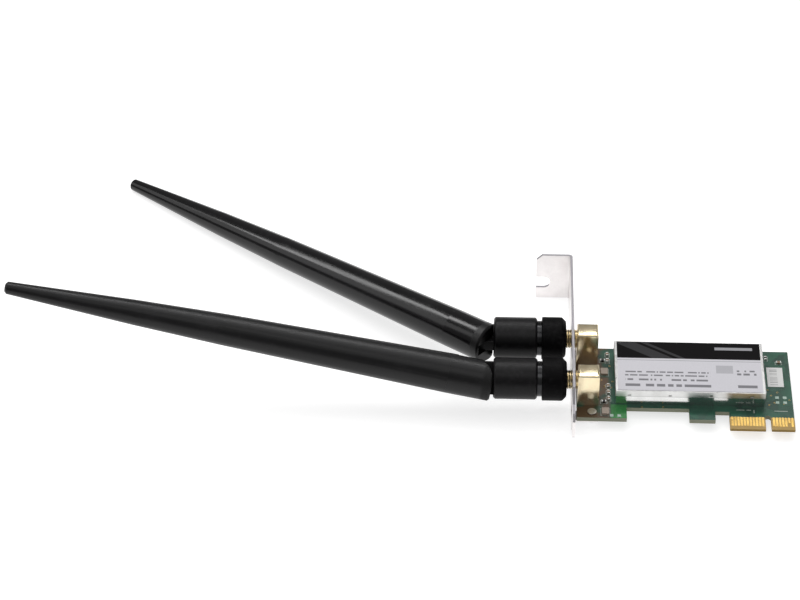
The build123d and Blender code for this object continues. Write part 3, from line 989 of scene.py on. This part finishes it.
@dataclass
class CircuitBoard:
    """The board with its contacts, print, via rings and open parts."""

    board_top: float = 0.8
    board_edge: float = 0.06
    plating_edge: float = 0.02
    filter_edge: float = 0.12
    chip_edge: float = 0.05
    ring_radius: float = 0.28
    ring_wire: float = 0.06
    ring_gap: float = 1.9
    ring_density: float = 160000.0
    ring_steps: Tuple[int, int] = (12, 6)
    zones_above: Tuple[Zone, ...] = (
        (-55.6, 17.4, -50.4, 30.4),
        (0.2, 11.6, 8.2, 20.2),
        (-45.6, 9.4, -26.2, 10.3),
    )
    zones_below: Tuple[Zone, ...] = ((-50.0, 10.6, -2.0, 36.6), (-24.8, 4.8, -18.2, 8.6))
    seeds: Tuple[int, int] = (5, 11)
    line_width: float = 0.16
    line_height: float = 0.02
    line_margin: float = 0.28
    bars: Tuple[Zone, ...] = (
        (-10.2, 8.9, -7.6, 9.2),
        (-6.9, 8.9, -5.4, 9.2),
        (-4.6, 7.6, -4.3, 9.2),
        (2.2, 8.7, 6.6, 9.0),
    )
    end_length: float = 0.36
    middle_trim: float = 0.06
    dome_radius: float = 0.95
    dome_height: float = 0.55
    dome_top: float = 0.45
    dome_waist: float = 0.55
    dome_steps: Tuple[int, int] = (20, 6)
    post_spread: Point2 = (2.8, 2.5)

    def build(self) -> None:
        """Dress the board and add its details."""
        dress_node("board", SolderMask("green_solder_mask").material(), self.board_edge)
        gold = CONTACT_GOLD.material()
        for node in ("contacts_component_side", "contacts_solder_side"):
            dress_node(node, gold, self.plating_edge)
        solder = SOLDER_TIN.material()
        dress_node("test_pads", PAD_TIN.material(), self.plating_edge)
        ring_gold = RING_GOLD.material()
        self.rings("rings_above", ring_gold, self.board_top, self.zones_above, self.seeds[0])
        self.rings("rings_below", ring_gold, -self.board_top, self.zones_below, self.seeds[1])
        self.chips("open_capacitors", CAPACITOR.material(), solder)
        self.chips("open_resistors", RESISTOR.material(), solder)
        dress_node("ceramic_filters", FILTER.material(), self.filter_edge)
        self.print_lines()
        self.solder_domes(solder)

    def rings(
        self, name: str, metal: bpy.types.Material, height: float, zones: Sequence[Zone], seed: int
    ) -> None:
        """Scatter via rings over zones of one side of the board.

        Args:
            name: the piece's name.
            metal: the ring's metal.
            height: the side's height.
            zones: rectangles as left, front, right, back.
            seed: the seed of the scatter.
        """
        bm = bmesh.new()
        for left, front, right, back in zones:
            corners = [(left, front), (right, front), (right, back), (left, back)]
            bm.faces.new([bm.verts.new((x, y, height)) for x, y in corners])
        obj = from_bmesh(name, bm)
        tree = GeometryTree(name, ["Ring radius", "Wire radius", "Least gap"])
        radius, wire, gap = tree.sizes
        scatter = {"Mesh": tree.start, "Distance Min": gap, "Density Max": self.ring_density, "Seed": seed}
        method = {"distribute_method": "POISSON"}
        spots = tree.value("GeometryNodeDistributePointsOnFaces", method, scatter, "Points")
        path, section = (
            tree.value("GeometryNodeCurvePrimitiveCircle", sockets={"Resolution": steps, "Radius": size})
            for steps, size in zip(self.ring_steps, (radius, wire))
        )
        ring = tree.value("GeometryNodeCurveToMesh", sockets={"Curve": path, "Profile Curve": section})
        placed = tree.value("GeometryNodeInstanceOnPoints", sockets={"Points": spots, "Instance": ring})
        tree.end(tree.painted(placed, metal))
        values = (self.ring_radius, self.ring_wire, self.ring_gap)
        tree.run(obj, dict(zip(("Ring radius", "Wire radius", "Least gap"), values)))
        add_piece(smooth(obj, 60.0), "card")

    def chips(self, node: str, body: bpy.types.Material, ends: bpy.types.Material) -> None:
        """Show a group of two-ended parts with plated ends.

        Args:
            node: the CAD node of the group.
            body: the finish of the middle.
            ends: the finish of the ends.
        """
        boxes = solid_boxes(node)
        mesh = bpy.data.meshes.new(node + "_spots")
        mesh.from_pydata([(low + high) / 2 * MM for low, high in boxes], [], [])
        turns = mesh.attributes.new("turn", "FLOAT", "POINT")
        for index, (low, high) in enumerate(boxes):
            turns.data[index].value = QUARTER_TURN if high.y - low.y > high.x - low.x else 0.0
        names = ["Length", "Width", "Height", "End length", "Trim"]
        tree = GeometryTree(node + "_parts", names)
        length, width, height, end, trim = tree.sizes
        inner = tree.vector(length - end, width - trim, height - trim)
        middle = tree.value("GeometryNodeMeshCube", sockets={"Size": inner})
        cap = tree.value("GeometryNodeMeshCube", sockets={"Size": tree.vector(end, width, height)})
        part = tree.node("GeometryNodeJoinGeometry")
        tree.feed(part.inputs[0], tree.painted(middle, body))
        for side in (-0.5, 0.5):
            shift = tree.vector(side * (length - end))
            moved = tree.value("GeometryNodeTransform", sockets={"Geometry": cap, "Translation": shift})
            tree.feed(part.inputs[0], tree.painted(moved, ends))
        turn = tree.value("GeometryNodeInputNamedAttribute", {"data_type": "FLOAT"}, {"Name": "turn"})
        whole = {"Points": tree.start, "Instance": Sock(tree, part.outputs[0])}
        whole["Rotation"] = tree.vector(0.0, 0.0, turn)
        tree.end(tree.value("GeometryNodeInstanceOnPoints", sockets=whole))
        obj = new_object(node + "_shown", mesh)
        size = sorted(boxes[0][1] - boxes[0][0], reverse=True)
        tree.run(obj, dict(zip(names, (*size, self.end_length, self.middle_trim))))
        round_edges(obj, self.chip_edge)
        add_piece(settle(obj), "card", None, [node])

    def print_lines(self) -> None:
        """Print outlines round the open parts and a few bars by the contacts."""
        bars: List[Zone] = []
        half = self.line_width / 2
        reach = self.line_margin
        for node in ("open_capacitors", "open_resistors", "ceramic_filters"):
            for low, high in solid_boxes(node):
                x0, y0, x1, y1 = low.x - reach, low.y - reach, high.x + reach, high.y + reach
                bars += [(x0 - half, y - half, x1 + half, y + half) for y in (y0, y1)]
                bars += [(x - half, y0 + half, x + half, y1 - half) for x in (x0, x1)]
        bm = bmesh.new()
        top = self.board_top + self.line_height
        for left, front, right, back in bars + list(self.bars):
            add_box(bm, (left, front, self.board_top), (right, back, top))
        add_piece(from_bmesh("printed_outlines", bm), "card", SCREEN_INK.material())

    def solder_domes(self, solder: bpy.types.Material) -> None:
        """Add the solder on the jack posts and leads under the board.

        Args:
            solder: the solder's finish.
        """
        reach, spread = self.post_spread
        offsets = [(0.0, 0.0)] + [(a * reach, b * spread) for a in (-1, 1) for b in (-1, 1)]
        spots = []
        for name in ("near", "far"):
            low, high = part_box(name + "_jack_pin")
            centre = Vector((high.x - (high.y - low.y) / 2, (low.y + high.y) / 2, -self.board_top * MM))
            spots += [centre + Vector((a * MM, b * MM, 0.0)) for a, b in offsets]
        mesh = bpy.data.meshes.new("solder_spots")
        mesh.from_pydata(spots, [], [])
        tree = GeometryTree("solder_domes", ["Dome radius", "Dome height"])
        radius, height = tree.sizes
        shape: Dict[str, Any] = dict(zip(("Vertices", "Side Segments"), self.dome_steps))
        shape.update({"Radius Top": self.dome_top * radius, "Radius Bottom": radius, "Depth": height})
        cone = tree.value("GeometryNodeMeshCone", {"fill_type": "NGON"}, shape, "Mesh")
        place = tree.value("GeometryNodeInputPosition")
        rise = tree.parts(place)[2] / height
        dome = tree.bent(cone, place, 1.0 - self.dome_waist * (rise * (1.0 - rise)))
        hung = {"Points": tree.start, "Instance": dome, "Rotation": (math.pi, 0.0, 0.0)}
        placed = tree.value("GeometryNodeInstanceOnPoints", sockets=hung)
        tree.end(tree.painted(placed, solder))
        obj = new_object("solder_joints", mesh)
        tree.run(obj, {"Dome radius": self.dome_radius, "Dome height": self.dome_height})
        add_piece(smooth(obj, 50.0), "card")


@dataclass
class RadioShield:
    """The shield, its label and the parts under it."""

    lid_edge: float = 0.14
    frame_edge: float = 0.03
    chip_edge: float = 0.06
    crystal_edge: float = 0.12
    ferrite_edge: float = 0.1

    def build(self) -> None:
        """Dress the shield and what it covers."""
        bright = FRAME_TIN.material()
        dress_node("shield_lid", SHIELD_TIN.material(), self.lid_edge)
        dress_node("shield_frame", bright, self.frame_edge)
        papers = (
            ("shield_label", PrintedLabel, "label_print"),
            ("board_sticker", LinedSticker, "sticker_print"),
        )
        for node, kind, name in papers:
            low, high = (tuple(part / MM for part in corner)[:2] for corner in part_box(node))
            dress_node(node, kind(name, low, high).material())
        black = CHIP_MOULD.material()
        for node in ("radio_chip", "front_end_chips", "regulator", "memory_chip"):
            dress_node(node, black, self.chip_edge)
        dress_node("crystal", bright, self.crystal_edge)
        dress_node("power_inductor", FERRITE.material(), self.ferrite_edge)
        dress_node("inner_capacitors", INNER_CAPACITOR.material())


@dataclass
class SlotBracket:
    """The slot bracket and its rivets."""

    edge: float = 0.1
    rivet_edge: float = 0.12

    def build(self) -> None:
        """Dress the bracket and the rivets."""
        dress_node("bracket", BRACKET_TIN.material(), self.edge)
        dress_node("bracket_rivets", RIVET_TIN.material(), self.rivet_edge)


@dataclass
class CoaxialJack:
    """A gold-plated jack with its threaded barrel."""

    name: str
    gold: bpy.types.Material
    white: bpy.types.Material
    base: float = 0.8
    barrel_radius: float = 3.175
    barrel_steps: int = 72
    bore_radius: float = 2.05
    bore_steps: int = 48
    mouth_radius: float = 2.32
    mouth_depth: float = 2.0
    thread_pitch: float = 0.7056
    thread_depth: float = 0.3
    thread_core: float = 0.95
    rings_per_turn: int = 8
    block_length: float = 7.0
    block_width: float = 6.4
    crown_edge: float = 0.8
    crown_reach: float = 0.01
    block_edge: float = 0.08
    post_size: float = 1.0
    post_inset: float = 0.7
    post_sink: float = 0.3
    channel_size: float = 3.0
    overcut: float = 1.0

    def build(self) -> None:
        """Build the block and the barrel, and dress the inner pieces."""
        node = self.name + "_jack_body"
        low, high = (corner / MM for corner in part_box(node))
        axis_y = (low.y + high.y) / 2
        self.block(node, low, high, axis_y)
        self.barrel(node, low.x, high.x - self.block_length, axis_y)
        dress_node(self.name + "_jack_insulator", self.white)
        dress_node(self.name + "_jack_pin", self.gold)

    def axis_height(self) -> float:
        """Return the height of the jack's axis."""
        return joint(self.name + "_swivel")["pos_m"][2] / MM

    def block(self, node: str, low: Vector, high: Vector, axis_y: float) -> None:
        """Build the square block with its posts.

        Args:
            node: the CAD node that it is shown for.
            low: the node's lowest corner.
            high: the node's highest corner.
            axis_y: Y of the jack's axis.
        """
        left, middle, side = high.x - self.block_length, high.x - self.block_length / 2, self.block_width / 2
        bm = add_box(bmesh.new(), (left, axis_y - side, self.base), (high.x, axis_y + side, high.z))
        brim = high.z - self.crown_reach
        crown = [edge for edge in bm.edges if all(vert.co.z > brim for vert in edge.verts)]
        bmesh.ops.bevel(bm, geom=crown, offset=self.crown_edge, segments=3, affect="EDGES", profile=0.5)
        obj = from_bmesh(self.name + "_jack_block", bm)
        reach, spread = self.block_length / 2 - self.post_inset, side - self.post_inset
        half = self.post_size / 2
        top = self.base + self.post_sink
        for x in (middle - reach, middle + reach):
            for y in (axis_y - spread, axis_y + spread):
                post = add_box(bmesh.new(), (x - half, y - half, low.z), (x + half, y + half, top))
                carve(obj, Carve.JOIN, post)
        axis, start, end = self.axis_height(), -self.overcut, (self.block_length + self.channel_size) / 2
        radius = self.bore_radius
        bore = lathe([(0.0, start), (radius, start), (radius, end), (0.0, end)], self.bore_steps)
        bore.transform(Matrix.Translation((left, axis_y, axis)) @ Matrix.Rotation(QUARTER_TURN, 4, "Y"))
        carve(obj, Carve.CUT, bore)
        half = self.channel_size / 2
        floor = (middle - half, axis_y - half, self.base - self.overcut)
        carve(obj, Carve.CUT, add_box(bmesh.new(), floor, (middle + half, axis_y + half, axis)))
        round_edges(obj, self.block_edge)
        add_piece(smooth(settle(obj)), "card", self.gold, [node])

    def barrel(self, node: str, end: float, face: float, axis_y: float) -> None:
        """Build the barrel and press its thread in with a node tree.

        Args:
            node: the CAD node that it is shown for.
            end: X of the free end.
            face: X of the block's face.
            axis_y: Y of the axis.
        """
        length = face - end
        rings = int(length / self.thread_pitch * self.rings_per_turn)
        profile = [(self.barrel_radius, length * step / rings) for step in range(rings + 1)]
        profile += [
            (self.mouth_radius, length),
            (self.mouth_radius, length - self.mouth_depth),
            (self.bore_radius, length - self.mouth_depth),
            (self.bore_radius, 0.0),
        ]
        obj = from_bmesh(self.name + "_jack_barrel", lathe(profile, self.barrel_steps))
        tree = GeometryTree(self.name + "_thread", ["Pitch", "Depth", "Core"])
        pitch, depth, core = tree.sizes
        place = tree.value("GeometryNodeInputPosition")
        x, y, z = tree.parts(place)
        turns = z / pitch - tree.math("ARCTAN2", y, x) / (2 * math.pi)
        wave = 2.0 * tree.math("PINGPONG", turns, 0.5)
        radius = tree.math("SQRT", x * x + y * y)
        sink = wave * depth * (radius > core)
        tree.end(tree.painted(tree.bent(tree.start, place, 1.0 - sink / radius), self.gold))
        core_radius = self.thread_core * self.barrel_radius
        tree.run(obj, {"Pitch": self.thread_pitch, "Depth": self.thread_depth, "Core": core_radius})
        spot = Matrix.Translation((face * MM, axis_y * MM, self.axis_height() * MM))
        obj.data.transform(spot @ Matrix.Rotation(-QUARTER_TURN, 4, "Y"))
        add_piece(smooth(obj, 50.0), "card", None, [node])


@dataclass(frozen=True)
class AntennaPiece:
    """A piece of an antenna that shows: its node, body, slot, finish and edge rounding."""

    node: str
    body: str
    slot: str
    finish: Finish
    edge: float


@dataclass
class RodAntenna:
    """An antenna: coupling nut, plug shell, base sleeve, elbow fork and rod."""

    name: str
    rod_sheen: float
    rod_shine: float
    nut_edge: float = 0.3
    shell_edge: float = 0.05
    sleeve_edge: float = 0.2
    fork_edge: float = 0.08
    rod_edge: float = 0.04
    dark_end_reach: float = -3.6
    nut_black: Colour = (0.0022, 0.002, 0.0023)
    base_black: Colour = (0.0034, 0.003, 0.0036)

    def rod_direction(self) -> Point3:
        """Return the direction of the rod, worked out from its packed hinge."""
        tilt = joint(self.name + "_tilt")
        away = Vector((-1.0, 0.0, 0.0))
        fold = Vector(tilt["axis"]).cross(away)
        bend = math.radians(-tilt["range_deg"][0])
        return tuple(fold * math.sin(bend) + away * math.cos(bend))

    def shown(self) -> List[AntennaPiece]:
        """Return the pieces that show, from the card outward."""
        nut = MouldedPlastic(self.name + "_nut_black", self.nut_black, 0.5, 0.14, 0.006, 0.06)
        shell = PlatedMetal(self.name + "_shell_nickel", (0.05, 0.05, 0.052), (0.02, 0.02, 0.021), 0.22)
        sleeve = MouldedPlastic(self.name + "_sleeve_black", self.base_black, 0.4, 0.16, 0.008, 0.2)
        hinge = tuple(part / MM for part in joint(self.name + "_tilt")["pos_m"])
        look = (self.base_black, self.rod_sheen, 0.2, 0.004, self.rod_shine, self.rod_direction())
        rod = MouldedPlastic(self.name + "_rod_black", *look)
        fork = DarkEndPlastic(self.name + "_fork_black", *look, hinge, self.dark_end_reach)
        return [
            AntennaPiece("coupling_nut", "nut", "nut_black", nut, self.nut_edge),
            AntennaPiece("plug_shell", "base", "shell_dark", shell, self.shell_edge),
            AntennaPiece("base_sleeve", "base", "sleeve_black", sleeve, self.sleeve_edge),
            AntennaPiece("elbow_fork", "rod", "sleeve_black", fork, self.fork_edge),
            AntennaPiece("rod_cover", "rod", "rod_black", rod, self.rod_edge),
        ]

    def hidden(self) -> Dict[str, Finish]:
        """Return the finishes of the pieces inside the antenna."""
        white = MouldedPlastic(self.name + "_plug_white", JACK_WHITE.colour)
        brass = PlatedMetal(self.name + "_inner_brass", (0.75, 0.52, 0.2), (0.55, 0.36, 0.14), 0.3)
        lead = MouldedPlastic(self.name + "_lead_brown", (0.08, 0.045, 0.02))
        pin = PlatedMetal(self.name + "_pin_steel", (0.2, 0.2, 0.2), (0.12, 0.12, 0.12), 0.35)
        return {
            "plug_insulator": white,
            "plug_contact": brass,
            "dipole": brass,
            "base_lead": lead,
            "rod_lead": lead,
            "hinge_pin": pin,
        }

    def build(self) -> None:
        """Build the pieces that show and dress the inner ones."""
        for piece in self.shown():
            node = f"{self.name}_{piece.node}"
            obj = refined(node, node + "_shown", piece.edge)
            add_piece(obj, f"{self.name}_{piece.body}", piece.finish.material(), [node])
        for node, finish in self.hidden().items():
            dress_node(f"{self.name}_{node}", finish.material())


@dataclass(frozen=True)
class Lamp:
    """A soft lamp: its place and its two sides in metres, and its power in watts."""

    name: str
    spot: Point3
    size: Point2
    power: float


@dataclass
class Studio:
    """The floor, the lights and the camera."""

    azimuth: float = -1.77
    elevation: float = 39.01
    focal_px: float = 3007.0
    width_px: float = 800.0
    sensor_width: float = 36.0
    clip: Point2 = (0.01, 20.0)
    target: Point3 = (-122.36, 63.95, 0.0)
    distance: float = 1032.87
    floor_height: float = -3.53
    floor_gap: float = 0.02
    floor_size: float = 4000.0
    floor_colour: Colour = (0.58, 0.58, 0.58)
    floor_glow: Colour = (0.7, 0.7, 0.7)
    floor_sheen: float = 0.9
    room_light: float = 0.26
    lamp_aim: Point3 = (-0.1, 0.04, 0.0)
    lamps: Tuple[Lamp, ...] = (
        Lamp("top_lamp", (-0.15, 0.25, 0.9), (0.9, 0.7), 2.4),
        Lamp("strip_lamp", (-0.25, 0.5, 0.79), (1.7, 0.12), 5.0),
        Lamp("front_lamp", (-0.05, -0.45, 0.85), (0.7, 0.4), 1.2),
        Lamp("side_lamp", (-0.9, 0.1, 0.5), (0.5, 0.5), 1.0),
    )

    def build(self) -> None:
        """Set the stage."""
        self.floor()
        self.room()
        for lamp in self.lamps:
            self.hang(lamp)
        self.camera()
        bpy.context.scene.view_settings.view_transform = "Standard"

    def floor(self) -> None:
        """Lay a plain pale floor that keeps the shadow and is white to the eye."""
        bm = bmesh.new()
        bmesh.ops.create_grid(bm, x_segments=1, y_segments=1, size=self.floor_size)
        bm.transform(Matrix.Translation((0.0, 0.0, self.floor_height - self.floor_gap)))
        obj = from_bmesh("studio_floor", bm)
        tree = ShaderTree("floor_paper")
        path = tree.node("ShaderNodeLightPath").outputs
        seen: Value = 0.0
        for ray in ("Is Camera Ray", "Is Glossy Ray", "Is Transmission Ray"):
            seen = tree.math("MAXIMUM", seen, Sock(tree, path[ray]))
        tree.set(Base_Color=self.floor_colour, Roughness=self.floor_sheen, Specular_IOR_Level=0.0)
        tree.set(Emission_Color=tree.mix(seen, (0.0, 0.0, 0.0), self.floor_glow), Emission_Strength=1.0)
        obj.data.materials.append(tree.material)

    def room(self) -> None:
        """Light the room evenly."""
        world = bpy.data.worlds.new("studio_room")
        bpy.context.scene.world = world
        world.use_nodes = True
        sky = world.node_tree.nodes["Background"]
        sky.inputs["Color"].default_value = (1.0, 1.0, 1.0, 1.0)
        sky.inputs["Strength"].default_value = self.room_light

    def hang(self, lamp: Lamp) -> None:
        """Hang one soft lamp and aim it at the card.

        Args:
            lamp: the lamp.
        """
        light = bpy.data.lights.new(lamp.name, "AREA")
        light.shape = "RECTANGLE"
        light.size, light.size_y = lamp.size
        light.energy = lamp.power
        self.place(lamp.name, light, Vector(lamp.spot), Vector(self.lamp_aim) - Vector(lamp.spot))

    def camera(self) -> None:
        """Stand the camera at the photograph's angle."""
        azimuth, elevation = math.radians(self.azimuth), math.radians(self.elevation)
        level = math.cos(elevation)
        forward = Vector((math.sin(azimuth) * level, math.cos(azimuth) * level, -math.sin(elevation)))
        lens = bpy.data.cameras.new("studio_camera")
        lens.sensor_fit = "HORIZONTAL"
        lens.sensor_width = self.sensor_width
        lens.lens = self.focal_px / self.width_px * self.sensor_width
        lens.clip_start, lens.clip_end = self.clip
        spot = (Vector(self.target) - forward * self.distance) * MM
        bpy.context.scene.camera = self.place("studio_camera", lens, spot, forward)

    @staticmethod
    def place(name: str, data: bpy.types.ID, spot: Vector, aim: Vector) -> bpy.types.Object:
        """Put a lamp or the camera into the scene.

        Args:
            name: the object's name.
            data: the lamp or the lens.
            spot: where it stands, in metres.
            aim: the direction in which it looks.

        Returns:
            The object.
        """
        obj = bpy.data.objects.new(name, data)
        obj.location = spot
        obj.rotation_euler = aim.to_track_quat("-Z", "Y").to_euler()
        bpy.context.scene.collection.objects.link(obj)
        return obj


def main() -> None:
    """Build the pieces in order."""
    logging.basicConfig(level=logging.INFO, format="%(message)s")
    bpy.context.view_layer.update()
    CircuitBoard().build()
    SlotBracket().build()
    RadioShield().build()
    gold, white = JACK_GOLD.material(), JACK_WHITE.material()
    for name in ("near", "far"):
        CoaxialJack(name, gold, white).build()
    RodAntenna("near", rod_sheen=0.38, rod_shine=0.32).build()
    RodAntenna("far", rod_sheen=0.15, rod_shine=0.36).build()
    Studio().build()


if __name__ == "__main__":
    main()
